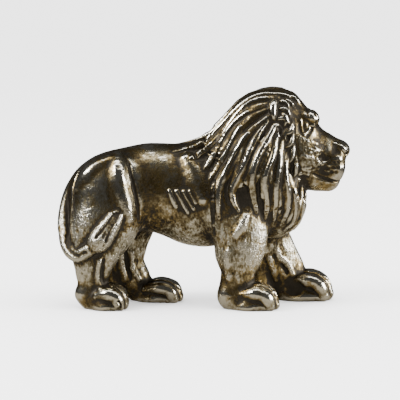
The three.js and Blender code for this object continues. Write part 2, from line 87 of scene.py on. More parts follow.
def smooth_path(places: np.ndarray, count: int) -> np.ndarray:
    """Draws a smooth curve through some points.

    Args:
        places: The points, one a row.
        count: How many even steps the curve is cut into.

    Returns:
        count + 1 points along the curve.
    """
    first = 2 * places[0] - places[1]
    last = 2 * places[-1] - places[-2]
    knots = np.vstack([first, places, last])
    out = np.empty((count + 1, places.shape[1]))
    for i in range(count + 1):
        spot = i / count * (len(places) - 1)
        piece = min(int(spot), len(places) - 2)
        share = spot - piece
        p = knots[piece:piece + 4]
        # the curve takes the root of a stretch's length over it, so it makes no loops
        a, b, c = np.maximum(np.sum((p[1:] - p[:-1]) ** 2, axis=1) ** 0.25, 1e-4)
        start = ((p[1] - p[0]) / a - (p[2] - p[0]) / (a + b) + (p[2] - p[1]) / b) * b
        end = ((p[2] - p[1]) / b - (p[3] - p[1]) / (b + c) + (p[3] - p[2]) / c) * b
        rise = p[2] - p[1]
        out[i] = (p[1] + start * share + (3 * rise - 2 * start - end) * share ** 2
                  + (start + end - 2 * rise) * share ** 3)
    return out


def swell(share: np.ndarray, thin: float, start: float, span: float) -> np.ndarray:
    """Gives the width of a stroke that swells and tapers again along its length.

    Args:
        share: How far along the stroke each point is, from 0 to 1.
        thin: The least width, as a share of the full one.
        start: Where on a half wave the stroke starts.
        span: How much of the half wave the stroke takes.

    Returns:
        The width at each point, as a share of the full one.
    """
    return thin + (1 - thin) * np.sin(np.pi * (start + span * share))


def lumps(points: np.ndarray, size: float, seed: int) -> np.ndarray:
    """Gives smooth random heights, as a hand-finished wax has.

    Args:
        points: Points in millimetres, one a row.
        size: How far apart the lumps are, in millimetres.
        seed: The number that the lumps are drawn from.

    Returns:
        A height from -1 to 1 for each point.
    """
    cells = 64  # the lumps repeat after this many
    heights = np.random.default_rng(seed).uniform(-1, 1, (cells, cells, cells))
    spot = points / size + cells / 2
    base = np.floor(spot).astype(int)
    share = spot - base
    share = share * share * (3 - 2 * share)
    total = np.zeros(len(points))
    for corner in range(8):
        step = np.array([corner & 1, corner >> 1 & 1, corner >> 2])
        weight = np.prod(np.where(step, share, 1 - share), axis=1)
        i, j, k = ((base + step) % cells).T
        total += weight * heights[i, j, k]
    return total


@dataclass
class Form:
    """One form of the figure: a ball that holds it, and how it meets what is there already."""

    seam: float
    side: Side
    work: Work
    centre: np.ndarray = field(init=False)
    reach: float = field(init=False)

    def measure(self, points: np.ndarray) -> tuple[np.ndarray, np.ndarray]:
        """Gives each point's distance from the form, and the way that it grows."""
        raise NotImplementedError


@dataclass
class Mass(Form):
    """A round mass: an ellipsoid that leans nose-down by tilt degrees."""

    place: np.ndarray
    half: np.ndarray
    tilt: float = 0.0

    def __post_init__(self) -> None:
        """Sets the ball that holds the mass."""
        self.centre = self.place
        self.reach = float(self.half.max())
        lean = math.radians(self.tilt)
        self.turn = np.array([
            [math.cos(lean), 0, -math.sin(lean)], [0, 1, 0], [math.sin(lean), 0, math.cos(lean)],
        ])

    def measure(self, points: np.ndarray) -> tuple[np.ndarray, np.ndarray]:
        """Gives each point's distance from the ellipsoid, and the way that it grows.

        Args:
            points: Points in millimetres, one a row.

        Returns:
            The distances, and one unit direction for each.
        """
        local = (points - self.centre) @ self.turn.T / self.half
        near = np.linalg.norm(local, axis=1)
        slope = np.linalg.norm(local / self.half, axis=1) + 1e-9
        way = (local / self.half / slope[:, None]) @ self.turn
        return near * (near - 1) / slope, way


@dataclass
class Rope(Form):
    """A rope of balls along a line of points, thinner from side to side where it is flat."""

    points: np.ndarray
    radii: np.ndarray
    flatness: float = 1.0

    def __post_init__(self) -> None:
        """Sets the ball that holds the rope."""
        self.centre = (self.points.min(axis=0) + self.points.max(axis=0)) / 2
        self.reach = float((np.linalg.norm(self.points - self.centre, axis=1) + self.radii).max())

    def measure(self, points: np.ndarray) -> tuple[np.ndarray, np.ndarray]:
        """Gives each point's distance from the rope, and the way that it grows.

        Args:
            points: Points in millimetres, one a row.

        Returns:
            The distances, and one direction for each.
        """
        best = np.full(len(points), np.inf)
        way = np.zeros_like(points)
        squeeze = np.array([1, 1 / self.flatness, 1])
        for a, b, ra, rb in zip(self.points, self.points[1:], self.radii, self.radii[1:]):
            run = b - a
            share = np.clip((points - a) @ run / max(run @ run, 1e-9), 0, 1)
            off = (points - a - share[:, None] * run) * squeeze
            far = np.linalg.norm(off, axis=1)
            gap = far - (ra + (rb - ra) * share)
            closer = gap < best
            best[closer] = gap[closer]
            way[closer] = (off * squeeze / (far[:, None] + 1e-9))[closer]
        return best, way


def fuse(
    a: np.ndarray, ga: np.ndarray, b: np.ndarray, gb: np.ndarray, seam: float,
) -> tuple[np.ndarray, np.ndarray]:
    """Joins two distances with a soft seam.

    Args:
        a: The first distances.
        ga: The way that each of them grows.
        b: The second distances.
        gb: The way that each of them grows.
        seam: How wide the soft seam is.

    Returns:
        The joined distances and the way that each grows.
    """
    share = np.maximum(seam - np.abs(a - b), 0) / seam / 2
    weight = np.where(a < b, 1 - share, share)[:, None]
    return np.minimum(a, b) - share ** 2 * seam, ga * weight + gb * (1 - weight)


class Carving:
    """The figure as it is built up, form on form."""

    def __init__(self) -> None:
        """Starts with no metal."""
        self.forms: list[Form] = []

    def mass(
        self, place: tuple, half: tuple, seam: float = SEAM, side: Side = Side.ONE,
        work: Work = Work.ADD, tilt: float = 0.0,
    ) -> None:
        """Adds a round mass.

        Args:
            place: Its middle, in shares of the lion's size.
            half: Its half sizes, in the same shares.
            seam: How softly it joins.
            side: Whether its mirror image is added too.
            work: Whether it adds metal or cuts it away.
            tilt: How far it leans nose-down, in degrees.
        """
        self.forms.append(Mass(seam, side, work, at(*place), at(*half), tilt))

    def limb(
        self, stations: list, seam: float = SEAM, side: Side = Side.ONE,
        work: Work = Work.ADD, flatness: float = 1.0, steps: int = 6,
    ) -> None:
        """Adds a tapering limb on a smooth curve.

        Args:
            stations: X, Y, Z and radius at each station, in shares of the lion's size.
            seam: How softly it joins.
            side: Whether its mirror image is added too.
            work: Whether it adds metal or cuts it away.
            flatness: How thick it is from side to side, by how thick it is along X.
            steps: Lengths between two stations.
        """
        table = np.array(stations, float)
        count = (len(table) - 1) * steps
        points = smooth_path(table[:, :3] * SHARE, count)
        radii = smooth_path(table[:, 3:] * SHARE[0], count)[:, 0]
        self.forms.append(Rope(seam, side, work, points, radii, flatness))

    def surface(self, points: np.ndarray) -> tuple[np.ndarray, np.ndarray]:
        """Measures the figure as built so far.

        Args:
            points: Points in millimetres, one a row.

        Returns:
            Each point's distance from the surface, negative inside, and the way it grows.
        """
        d = np.full(len(points), LENGTH)
        g = np.zeros_like(points)
        g[:, 2] = 1
        for form in self.forms:
            both, cut = form.side is Side.BOTH, form.work is Work.CUT
            across = np.abs(points[:, 1]) if both else points[:, 1]
            gap = np.sqrt(
                (points[:, 0] - form.centre[0]) ** 2 + (points[:, 2] - form.centre[2]) ** 2
                + (across - form.centre[1]) ** 2
            ) - form.reach
            near = np.flatnonzero(gap < (form.seam - d if cut else d + form.seam))
            if not len(near):
                continue
            some = points[near]
            if both:
                flip = np.where(some[:, 1] < 0, -1.0, 1.0)
                some[:, 1] *= flip
                fd, fg = form.measure(some)
                fg[:, 1] *= flip
            else:
                fd, fg = form.measure(some)
            if cut:
                nd, ng = fuse(-d[near], -g[near], fd, fg, form.seam)
                d[near], g[near] = -nd, -ng
            else:
                d[near], g[near] = fuse(d[near], g[near], fd, fg, form.seam)
        sole = -points[:, 2] > d
        d[sole] = -points[sole, 2]
        g[sole] = (0, 0, -1)
        return d, g

    def drape(self, points: np.ndarray, height: np.ndarray | float, turns: int = 8) -> np.ndarray:
        """Moves points onto the surface, or to a height above it.

        Args:
            points: Points in millimetres, one a row.
            height: How far above the surface each ends up.
            turns: How many steps it takes.

        Returns:
            The moved points.
        """
        least = 0.1  # keeps a step short in a seam, where two ways nearly cancel out
        moved = points.copy()
        for _ in range(turns):
            d, g = self.surface(moved)
            steepness = np.maximum(np.sum(g * g, axis=1), least)
            moved -= g * ((d - height) / steepness)[:, None]
        return moved

    def ridge(
        self, places: list, thickness: float, proud: float, side: int = 1,
        work: Work = Work.ADD, seam: float = 0.3, steps: int = 6,
    ) -> None:
        """Lays a ridge on the surface, or carves a line into it.

        Args:
            places: Points near the surface, in shares of the lion's size.
            thickness: Across the ridge, in millimetres.
            proud: How high it stands, or how deep it is carved.
            side: 1 for the lion's left and -1 for its right.
            work: Whether it adds metal or cuts it away.
            seam: How softly it joins.
            steps: Lengths between two places.
        """
        count = (len(places) - 1) * steps
        path = smooth_path(np.array(places, float) * SHARE * (1, side, 1), count)
        radii = thickness / 2 * swell(np.linspace(0, 1, count + 1), 0.35, 0.12, 0.76)
        height = radii - proud if work is Work.CUT else proud - radii
        self.forms.append(Rope(seam, Side.ONE, work, self.drape(path, height), radii))


@dataclass
class Trunk:
    """The body: ribs, loin, rump and the seat under the tail."""

    softness: float = 3.0  # how far each mass runs into the next

    def model(self, carving: Carving) -> None:
        """Builds the trunk's masses.

        Args:
            carving: The figure so far.
        """
        # ribs, loin and rump, and the seat under the tail
        carving.mass((0, 0, 37.6), (22, 13.2, 17.8), seam=self.softness)
        carving.mass((-17, 0, 40.8), (17.4, 11.5, 14.6), seam=self.softness)
        carving.mass((-30.4, 0, 38), (15.2, 12.3, 14.6), seam=self.softness, tilt=-14)
        carving.limb([(-38, 0, 36, 8.4), (-39.5, -1.5, 26, 6.4)], seam=self.softness)


@dataclass
class Paw:
    """A paw flat on the ground: a low pad and four toes, each with a knuckle and a tip."""

    x: float
    y: float
    length: float
    height: float
    toe_spacing: float = 3.3

    TOES = (-1.5, -0.5, 0.5, 1.5)  # where each toe stands across the paw, in toe spacings

    def model(self, carving: Carving) -> None:
        """Builds the pad, then the toes side by side, the outer ones set back.

        Args:
            carving: The figure so far.
        """
        x, y, length, height = self.x, self.y, self.length, self.height
        carving.mass((x, y, height * 0.3), (length * 0.8, 6.4, height * 0.56), seam=1.6)
        carving.mass((x + length * 0.1, y, height * 0.12), (length * 0.84, 7.2, height * 0.3), seam=0.8)
        for across in self.TOES:
            middle = 1 - 0.11 * across * across
            side = y + across * self.toe_spacing
            high = height * (1.02 - 0.06 * across * across)
            carving.limb([
                (x - length * 0.34, y + across * 2.4, high * 0.62, 2.0),
                (x + length * 0.2 * middle, side, high * 0.72, 2.6),
                (x + length * 0.6 * middle, side, high * 0.56, 2.6),
                (x + length * 0.8 * middle, side, high * 0.2, 2.0),
            ], seam=0.1)
            for off in (-1, 1):  # the sheath of the claw, between two grooves
                carving.limb([
                    (x + length * 0.66 * middle, side + off * 1.2, high * 0.7, 0.5),
                    (x + length * 0.96 * middle, side + off * 0.9, high * 0.34, 0.5),
                ], seam=0.2, work=Work.CUT)


@dataclass
class HindLegs:
    """The hind legs: the right one back under the rump, the left one a step forward."""

    right_paw: Paw = field(default_factory=lambda: Paw(-33, -11, 7.4, 8.5))
    left_paw: Paw = field(default_factory=lambda: Paw(-16.3, 6.6, 9.6, 7.8))

    def model(self, carving: Carving) -> None:
        """Builds both legs, their heels and their paws.

        Args:
            carving: The figure so far.
        """
        # right leg, then the left
        carving.limb([
            (-32, -7.5, 41, 11), (-33, -8.5, 31, 11.6), (-36, -10, 22, 9), (-37.4, -11, 14.5, 6.3),
            (-37.4, -11, 8, 5), (-37, -11, 4, 5),
        ], seam=2.5, flatness=0.66)
        carving.limb([
            (-28, 7, 40, 11.5), (-26.4, 8, 31, 10.6), (-27, 8, 21, 7.8), (-27.6, 7.5, 14, 6.9),
            (-25, 7.5, 8, 6.4), (-22, 7.5, 4, 5),
        ], seam=2, flatness=0.7)
        # heels, left and right
        carving.limb([(-31, 7, 18, 4.5), (-33, 6, 10, 3.6), (-32.5, 6, 4, 3.6)], seam=2)
        carving.limb([(-40.8, -11, 5, 2.8), (-34, -11, 3.6, 3.4)], seam=1.5)
        self.right_paw.model(carving)
        self.left_paw.model(carving)


@dataclass
class ForeLegs:
    """The forelegs: the right one straight, the left one reaching forward."""

    right_paw: Paw = field(default_factory=lambda: Paw(16.5, -11.2, 9.4, 8.8))
    left_paw: Paw = field(default_factory=lambda: Paw(34.6, 9.5, 11.4, 11.2))

    def model(self, carving: Carving) -> None:
        """Builds both legs, their heels, the right elbow, the paws and a hollow by each heel.

        Args:
            carving: The figure so far.
        """
        # right leg, then the left
        carving.limb([
            (8, -8, 38, 10), (12.2, -9.5, 26.5, 9.6), (12.2, -10.5, 19, 8.2), (11.8, -11, 13, 6),
            (11.4, -11, 8, 5.8), (11.5, -11, 4, 5.6),
        ], seam=2, flatness=0.68)
        carving.limb([
            (16, 7, 35, 10), (19.6, 8, 25, 9.2), (24.6, 9, 16, 8), (28.6, 9.5, 9.5, 7),
            (30, 9.5, 5, 6),
        ], seam=2, flatness=0.72)
        # heels, left and right, and the elbow
        carving.limb([(20, 8, 20, 5), (19, 7.5, 11, 4), (20, 7.5, 4, 4)], seam=2)
        carving.limb([(8.6, -11, 4.4, 3.8), (14, -11, 3.8, 4.4)], seam=1.5)
        carving.mass((12.6, -13.6, 30.6), (3.2, 2.0, 4.6), seam=1.4, tilt=24)
        self.right_paw.model(carving)
        self.left_paw.model(carving)
        carving.mass((10.2, -17.4, 3.8), (2.6, 1.4, 2.4), seam=0.8, work=Work.CUT)
        carving.mass((30.6, 3, 5.4), (3.4, 1.8, 2.6), seam=1.4, work=Work.CUT)


@dataclass
class Muscles:
    """What shows on both flanks: haunch, shoulder blade, shoulder edge and ribs."""

    line_width: float = 0.9  # across a carved line, in millimetres
    line_depth: float = 0.5

    # each rib: where it stands along the body, how far forward it runs and how low it ends
    RIBS = ((-11.4, 2, 34.6), (-9, 3.6, 32.6), (-6.7, 3.3, 34), (-4.6, 2, 36.2))
    RIB_TOP = 40
    FLANK = 13  # how far out the ribs are

    def carve(self, carving: Carving, places: list, side: int, width: float = 1.0) -> None:
        """Carves one line.

        Args:
            carving: The figure so far.
            places: Where the line runs.
            side: 1 for the left and -1 for the right.
            width: The line's size, by that of a usual one.
        """
        carving.ridge(places, self.line_width * width, self.line_depth * width, side, Work.CUT)

    def model(self, carving: Carving) -> None:
        """Lays the muscles and carves their edges, on both flanks.

        Args:
            carving: The figure so far.
        """
        for side in (1, -1):
            # haunch: its band, the line in front of it and its rear streak
            carving.ridge([(-29, 8, 52.4), (-28.6, 13, 45), (-26.4, 14, 36), (-25, 14, 31)],
                          4.2, 0.6, side, seam=0.8)
            self.carve(carving, [(-25.4, 10, 51.6), (-24.4, 12, 44), (-22.4, 12, 34.6), (-21.4, 12, 29)],
                       side)
            carving.ridge([(-42, 10, 41.4), (-37.6, 11, 47), (-32, 10, 50.4)], 3.4, 0.35, side, seam=0.8)
            # shoulder: its blade and the line in front of it
            carving.ridge([(-6, 11, 52.2), (-2.8, 13, 45), (-0.4, 13, 37.6)], 4.6, 0.75, side, seam=1.0)
            self.carve(carving, [(1.2, 11, 55), (2.8, 14, 48), (3.2, 14, 38), (3, 13, 25.6)], side)
            for x, forward, low in self.RIBS:
                carving.ridge([
                    (x, self.FLANK, self.RIB_TOP),
                    (x + forward / 2, self.FLANK, (self.RIB_TOP + low) / 2),
                    (x + forward, self.FLANK, low),
                ], 1.2, 0.4, side, seam=0.3)
            # seat: the line at the back of the rump
            self.carve(carving, [(-42.4, 5, 49.6), (-43.4, 8, 41), (-43.6, 10, 31)], side)


@dataclass
class Tendons:
    """The tendons and shin ridges that stand out on the four legs."""

    RIDGES = (  # where each runs, its width and how proud it stands, both in millimetres
        # right hind leg: shin and heel
        (((-35.2, -15, 17), (-35.6, -15, 11), (-34.6, -15, 7), (-31.6, -15, 5)), 1.1, 0.4),
        # left hind leg, inner side
        (((-28.6, 3, 20), (-28, 3, 14), (-27.4, 3, 8)), 1.8, 0.22),
        (((-24.6, 3, 17), (-24.4, 3, 12), (-22, 3, 8)), 1.2, 0.3),
        # right foreleg: elbow and forearm
        (((10.8, -16, 25.6), (12.6, -16, 28.4), (14.4, -16, 32)), 2.0, 0.5),
        (((8.4, -15, 20), (7.8, -15, 16), (8.8, -14, 11)), 2.0, 0.25),
        # left foreleg, inner side
        (((25.4, 3, 18.4), (26.6, 3, 15.8), (29.4, 3, 13.6), (31, 4, 9.8)), 1.4, 0.3),
        (((22.8, 3, 15.6), (24.2, 3, 11.4), (25.4, 3, 7.4)), 1.2, 0.25),
    )
    GROOVES = (  # where each runs, its width and its depth, both in millimetres
        (((-33.6, -15, 17), (-33.4, -15, 11), (-32, -15, 8)), 1.2, 0.35),
        (((-27, 3, 19), (-26.6, 3, 13), (-25, 3, 8)), 0.9, 0.35),
        (((27, 3, 12.6), (28.6, 3, 9.6)), 0.9, 0.3),
    )

    def model(self, carving: Carving) -> None:
        """Lays the ridges and carves the grooves between them.

        Args:
            carving: The figure so far.
        """
        for places, width, proud in self.RIDGES:
            carving.ridge(list(places), width, proud, seam=0.7)
        for places, width, depth in self.GROOVES:
            carving.ridge(list(places), width, depth, work=Work.CUT)


@dataclass
class Head:
    """Skull, muzzle and jaw, with brows, eyes, nostrils and mouth."""

    softness: float = 2.0
    fur_strokes: int = 26
    pit_width: float = 0.5  # across a pit beside the mouth, in millimetres
    pit_depth: float = 0.22

    LINES = (  # where each line runs, its width and its depth, both in millimetres
        # mouth
        (((47.2, 1, 43.4), (44.4, 4.4, 43.0), (41, 6, 43.6), (37, 7, 45.4)), 0.6, 0.35),
        # line from the eye's corner down the cheek
        (((36.8, 5.8, 62), (36, 7, 59.4), (34.4, 8, 57)), 0.6, 0.3),
        # frown, and three strokes on the brow
        (((33, 3.4, 67), (35.6, 4.4, 66.2), (38, 3.2, 64)), 0.7, 0.3),
        (((38, 3.6, 66), (38.6, 5, 64.4)), 0.6, 0.22),
        (((36.6, 4.6, 66.8), (37.2, 6.2, 64.6)), 0.6, 0.22),
        (((35, 5.2, 66.8), (35.4, 7, 64.8)), 0.6, 0.22),
        # bridge of the nose, edge of the nose, and parting of the lips
        (((38, 1.6, 63.4), (39.6, 1.4, 61.6), (41, 1.6, 60)), 0.6, 0.25),
        (((45.4, 2.8, 55.6), (46.4, 3.4, 54), (47.6, 3, 51.8)), 0.6, 0.2),
        (((48.4, 0, 51.4), (48.2, 0, 47.4), (47.4, 0, 44)), 0.6, 0.35),
    )
    LIDS = (  # the same for what stands proud: both lids, which meet below the eye, and the nose's wing
        (((37.5, 6, 63.6), (35.8, 7.2, 61), (33.5, 8, 58)), 0.9, 0.42),
        (((32, 8, 64.4), (32.8, 8, 61.6), (33.5, 8, 58.6)), 0.9, 0.34),
        (((44.2, 3.4, 55), (46.2, 3.7, 54.6), (47.8, 3, 53.2)), 1.6, 0.3),
    )

    def model(self, carving: Carving) -> None:
        """Builds the head's masses: skull, cheeks, muzzle, jaw and eyes.

        Args:
            carving: The figure so far.
        """
        both, cut = Side.BOTH, Work.CUT
        # skull, brows and cheeks
        carving.mass((30.5, 0, 57.8), (9.6, 10, 10), seam=self.softness)
        carving.mass((35.5, 4.5, 64.1), (3.9, 3.8, 3.1), seam=1, side=both)
        carving.mass((33, 6, 51.6), (6, 4.2, 6.6), seam=1.5, side=both)
        # bridge of the nose, muzzle, nose, upper lip and jaw
        carving.limb([(34, 0, 57, 4.8), (41, 0, 55, 4.2), (45.4, 0, 53.4, 3.4)], seam=1.5, flatness=1.35)
        carving.limb([(33, 0, 52, 8), (39, 0, 50.4, 6.6), (43, 0, 49, 4.8)], seam=1.5, flatness=1.08)
        carving.mass((46.8, 0, 53.2), (3.1, 4.2, 2.6), seam=1.4)
        carving.mass((44.4, 3, 47.2), (3.8, 3.3, 4.7), seam=1.4, side=both)
        carving.limb([(31, 0, 46, 6), (38, 0, 44, 5), (42.6, 0, 42.8, 4)], seam=1.4, flatness=1.25)
        # eyes in their hollows
        carving.mass((34.8, 9.1, 61.2), (3.2, 1.8, 2.8), seam=0.9, side=both, work=cut)
        carving.mass((33.9, 7.3, 61.6), (1.5, 1.1, 2.4), seam=0.3, side=both)
        # whisker pads with a hollow behind each, and nostrils
        carving.mass((41, 8, 50.6), (2.2, 1.9, 2.1), seam=0.7, side=both, work=cut)
        carving.mass((45, 4.7, 50.2), (2.2, 1.5, 1.7), seam=0.5, side=both)
        carving.mass((49, 1.9, 52), (1.3, 1, 1), seam=0.3, side=both, work=cut)

    def chase(self, carving: Carving) -> None:
        """Carves the fine lines of the face, once the masses stand.

        Args:
            carving: The figure so far.
        """
        dice = np.random.default_rng(5)
        for side in (1, -1):
            for places, width, depth in self.LINES:
                carving.ridge(list(places), width, depth, side, Work.CUT)
            for places, width, proud in self.LIDS:
                carving.ridge(list(places), width, proud, side, seam=0.1)
            for _ in range(self.fur_strokes):
                x, z = dice.uniform(33, 41.5), dice.uniform(45.5, 57)  # anywhere on the cheek
                fall = dice.uniform(-1.1, 0.5)
                width, proud = dice.uniform(0.5, 0.9), dice.uniform(0.12, 0.24)
                carving.ridge([(x, 8, z), (x + 1, 7.7, z + fall), (x + 2, 7.4, z + 1.6 * fall)],
                              width, proud, side, seam=0.15, steps=4)
            for row in range(3):
                for pit in range(2):
                    x, z = 45.6 - 1.5 * pit - 0.3 * row, 49.4 - 1.7 * row
                    carving.ridge([(x, 7, z), (x + 0.4, 7, z - 0.3)], self.pit_width, self.pit_depth,
                                  side, Work.CUT, steps=2)


@dataclass
class Course:
    """A lock or strand before it is laid: where it runs, how thick it is and how high it stands."""

    points: np.ndarray
    radii: np.ndarray
    proud: np.ndarray


@dataclass
class Mane:
    """The mane: a mass under rows of locks that flow from the brow and the ear to the chest."""

    thickness: float = 3.0  # across a full lock, in millimetres
    fullness: float = 0.47  # half a lock's thickness, as a share of the room it has
    proud: float = 1.05  # how far a lock stands above the mass
    steps: int = 14  # lengths along a lock
    strands: int = 3  # strands for each lock of the flow
    strand_proud: float = 0.34  # how far a strand stands above its lock
    ease: int = 3  # how often a draped lock is smoothed along its length
    crowded: float = 0.9  # room between locks, in millimetres, that leaves none for a strand
    parting: float = 0.6  # how high the lock on the crown's middle stands, by the others
    lock_seam: float = 0.22
    strand_seam: float = 0.16
    high_strand: tuple = (0.2, 0.26, 0.46)  # its radius: a share of the room, the least and the most
    low_strand: tuple = (0.24, 0.32, 0.75)

    # the lines of the locks on the left, root to tip, from the crown round to the throat
    FLOW = (
        [(36, 0, 67), (31, 0, 73.6), (21, 0, 75.4), (10, 0, 69), (1, 0, 59), (-9, 0, 55.6)],
        [(34.6, 4, 67.6), (26, 6, 73.6), (16, 7, 72.4), (7.4, 8, 66.4), (-0.6, 8, 57.4), (-10, 7, 53.8)],
        [(26, 8, 72), (16.4, 9, 71), (7.6, 10, 65), (1.4, 11, 57.4), (-3, 12, 52)],
        [(23.4, 10, 70), (14.6, 10, 66.6), (7.6, 11, 61.6), (3, 12, 55.6), (0.2, 13, 49)],
        [(22.6, 11, 68.2), (14.6, 11, 63.6), (9, 13, 58.2), (4.8, 14, 51.4), (2.6, 14, 44)],
        [(22, 12, 65.4), (15.9, 12, 61), (11.6, 14, 55), (7.4, 15, 46), (4.6, 16, 40.6), (4.3, 15, 32)],
        [(21.4, 12, 63), (17, 13, 57), (13.2, 15, 50), (11, 16, 44.4), (10.2, 16, 39.6), (12.4, 15, 33.6)],
        [(23.8, 12, 62.4), (21.8, 13, 57.6), (18.6, 15, 52), (16.6, 16, 45), (15.6, 16, 40),
         (17.4, 15, 33.4)],
        [(25, 12, 60.4), (23.4, 13, 55.6), (21.4, 15, 50), (20.6, 16, 44), (21.6, 16, 38.6), (20.8, 14, 31)],
        [(27.2, 11, 58.6), (25.6, 13, 53.4), (24.3, 14, 48), (24, 15, 42.6), (25, 14, 37), (24.2, 12, 29.6)],
        [(28.6, 11, 54.6), (27.4, 12, 49.6), (27.4, 12, 44.6), (28.2, 12, 39.8), (27.8, 11, 34.6),
         (26.4, 10, 28)],
        [(30.8, 9, 48), (30.2, 9, 43.6), (30.4, 9, 39.6), (30.4, 9, 35.4), (29.6, 8, 31), (27.8, 7, 26)],
        [(33.2, 5, 41.6), (33.6, 5, 38.6), (33.4, 5, 35.4), (32.2, 5, 31.6), (30.6, 4, 28), (28.6, 3, 24.6)],
        [(34, 0, 40.4), (34.2, 0, 37.6), (33.6, 0, 34), (32.4, 0, 30.6), (30.8, 0, 27.4), (28.6, 0, 24.6)],
    )
    EAR = ((24.2, 11, 73.2), (23.2, 12, 69), (23.6, 12, 64.4))
    # curls between the ear and the face, and those that lead into the beard
    RUFF = (
        ((25.7, 10, 71.6), (27.8, 10, 71), (28.9, 9, 67.9)),
        ((25.7, 11, 68.1), (28, 10.5, 67.6), (29.1, 10, 64.8)),
        ((25, 11, 64.2), (27.2, 11, 64.4), (29, 10, 62)),
        ((29.9, 10, 63), (29.2, 10.6, 60), (26.3, 11, 59)),
        ((30, 10, 59.2), (29, 10.6, 55.8), (25.7, 11, 54.6)),
        ((30.4, 9.5, 55.4), (29.6, 10, 51.4), (27, 11, 49)),
        ((31.4, 9, 51.6), (31, 9.4, 46.6), (28.9, 10, 42.6)),
        ((32.4, 8, 47.4), (32.4, 8.4, 43), (30.8, 8.6, 38.6)),
        ((26, 8, 74.2), (28.6, 8, 74.2), (30.8, 7, 72)),
        ((28.8, 7, 73.6), (31.4, 6.4, 72.6), (33.6, 6, 69.6)),
        ((27, 9, 72.6), (30, 8.6, 70.6), (31.4, 8, 67.4)),
        ((26.6, 11, 66.4), (27.8, 11, 64.6), (27.2, 11, 61.8)),
        ((28.2, 10.6, 61.4), (27, 11, 58.4), (27.8, 11, 55.6)),
        ((24.6, 12, 62.6), (25.8, 12, 60), (24.4, 12.4, 57.4)),
    )

    def __post_init__(self) -> None:
        """Works out how every lock and strand runs thick and thin, and rises, along its length."""
        self.share = np.linspace(0, 1, self.steps + 1)
        self.taper = swell(self.share, 0.2, 0.12, 0.84)
        self.fine = swell(self.share, 0.35, 0.1, 0.76)
        self.rise = self.proud * np.minimum(1, 0.3 + 3 * self.share) * (1 - 0.75 * self.share ** 6)

    def mound(self, carving: Carving) -> None:
        """Builds the mass that the locks lie on.

        Args:
            carving: The figure so far.
        """
        # neck behind the ears, crown, shoulders, chest and nape
        carving.mass((21.5, 0, 61), (13, 12, 12.4), seam=2)
        carving.mass((27, 0, 65), (7.4, 9, 8.2), seam=2)
        carving.mass((17.5, 0, 47), (14, 16, 20), seam=2)
        carving.mass((23.6, 0, 36.6), (10, 12, 14), seam=2)
        carving.limb([(14, 0, 56.2, 8), (4, 0, 47.6, 8), (-6, 0, 45.8, 6)], seam=3)

    def flow(self, step: float) -> np.ndarray:
        """Gives the points of the flow between its lines.

        Args:
            step: The number of a line, or a share of the way to the next.

        Returns:
            Points in millimetres, root first.
        """
        last = len(self.FLOW) - 1
        spot = min(max(step, 0.0), float(last))
        line = min(int(spot), last - 1)
        first, second = (smooth_path(np.array(self.FLOW[i], float) * SHARE, self.steps)
                         for i in (line, line + 1))
        return first + (second - first) * (spot - line)

    def across(self, step: float) -> np.ndarray:
        """Gives the way across the flow at each point of a line, as long as the room it has."""
        return self.flow(step + 0.5) - self.flow(step - 0.5)

    def swayed(self, step: float, sway: np.ndarray, side: int) -> np.ndarray:
        """Gives a line of the flow that sways to either side by a share of the room it has."""
        return (self.flow(step) + self.across(step) * sway[:, None]) * (1, side, 1)

    def wave(self, dice: np.random.Generator, swing: float, fewest: float, most: float) -> np.ndarray:
        """Gives a wave along a lock, of a random number of turns between the fewest and the most."""
        return swing * np.sin(2 * np.pi * (self.share * dice.uniform(fewest, most) + dice.uniform()))

    def slim(self, room: np.ndarray, size: tuple) -> np.ndarray:
        """Gives a strand's radii in the room that it has.

        Args:
            room: How far apart the locks are, point by point.
            size: The radius, as a share of the room, and its least and most.

        Returns:
            The radii, which taper to both ends.
        """
        share, least, most = size
        return np.clip(share * room, least, most) * self.fine

    def comb(self, line: int, side: int, dice: np.random.Generator) -> tuple[Course, list[Course]]:
        """Makes one lock of the flow, and the strands that are drawn on it and beside it.

        Args:
            line: The number of the lock.
            side: 1 for the lion's left and -1 for its right.
            dice: What the waves and lengths are drawn from.

        Returns:
            The lock, and its strands: a high one on the lock's crest and lower ones beside it.
        """
        sway = self.wave(dice, dice.uniform(0.08, 0.28) * (line > 0), 0.9, 1.5)
        path = self.swayed(line, sway, side)
        room = np.linalg.norm(self.across(line), axis=1)
        half = np.clip(self.fullness * room, self.thickness * 0.25, self.thickness * 0.45)
        lock = Course(path, half * self.taper, self.rise * (1 if line else self.parting))
        free = np.clip((room - self.crowded) / self.crowded, 0, 1)
        # where locks crowd, the strands sink into them
        high = lock.proud + self.strand_proud * (1.6 * free - 0.6)
        strands = [Course(path, self.slim(room, self.high_strand), high)]
        for beside in range(1, self.strands):
            step = line + beside / self.strands
            swing = dice.uniform(0.08, 0.2)
            start, end = dice.uniform(-0.1, 0.25), dice.uniform(0.75, 1.1)
            short = np.clip(np.minimum(self.share - start, end - self.share) * 5, 0.3, 1)
            sway = self.wave(dice, swing, 1, 2)
            low = self.rise * dice.uniform(0.5, 0.85) + self.strand_proud * 0.5 - (1 - free) * 0.7
            if step < len(self.FLOW) - 1:
                radii = self.slim(room, self.low_strand) * short
                # a strand between locks is rooted in the mass below and spans no gap
                strands.append(Course(self.swayed(step, sway, side), radii, np.minimum(low, 1.7 * radii)))
        return lock, strands

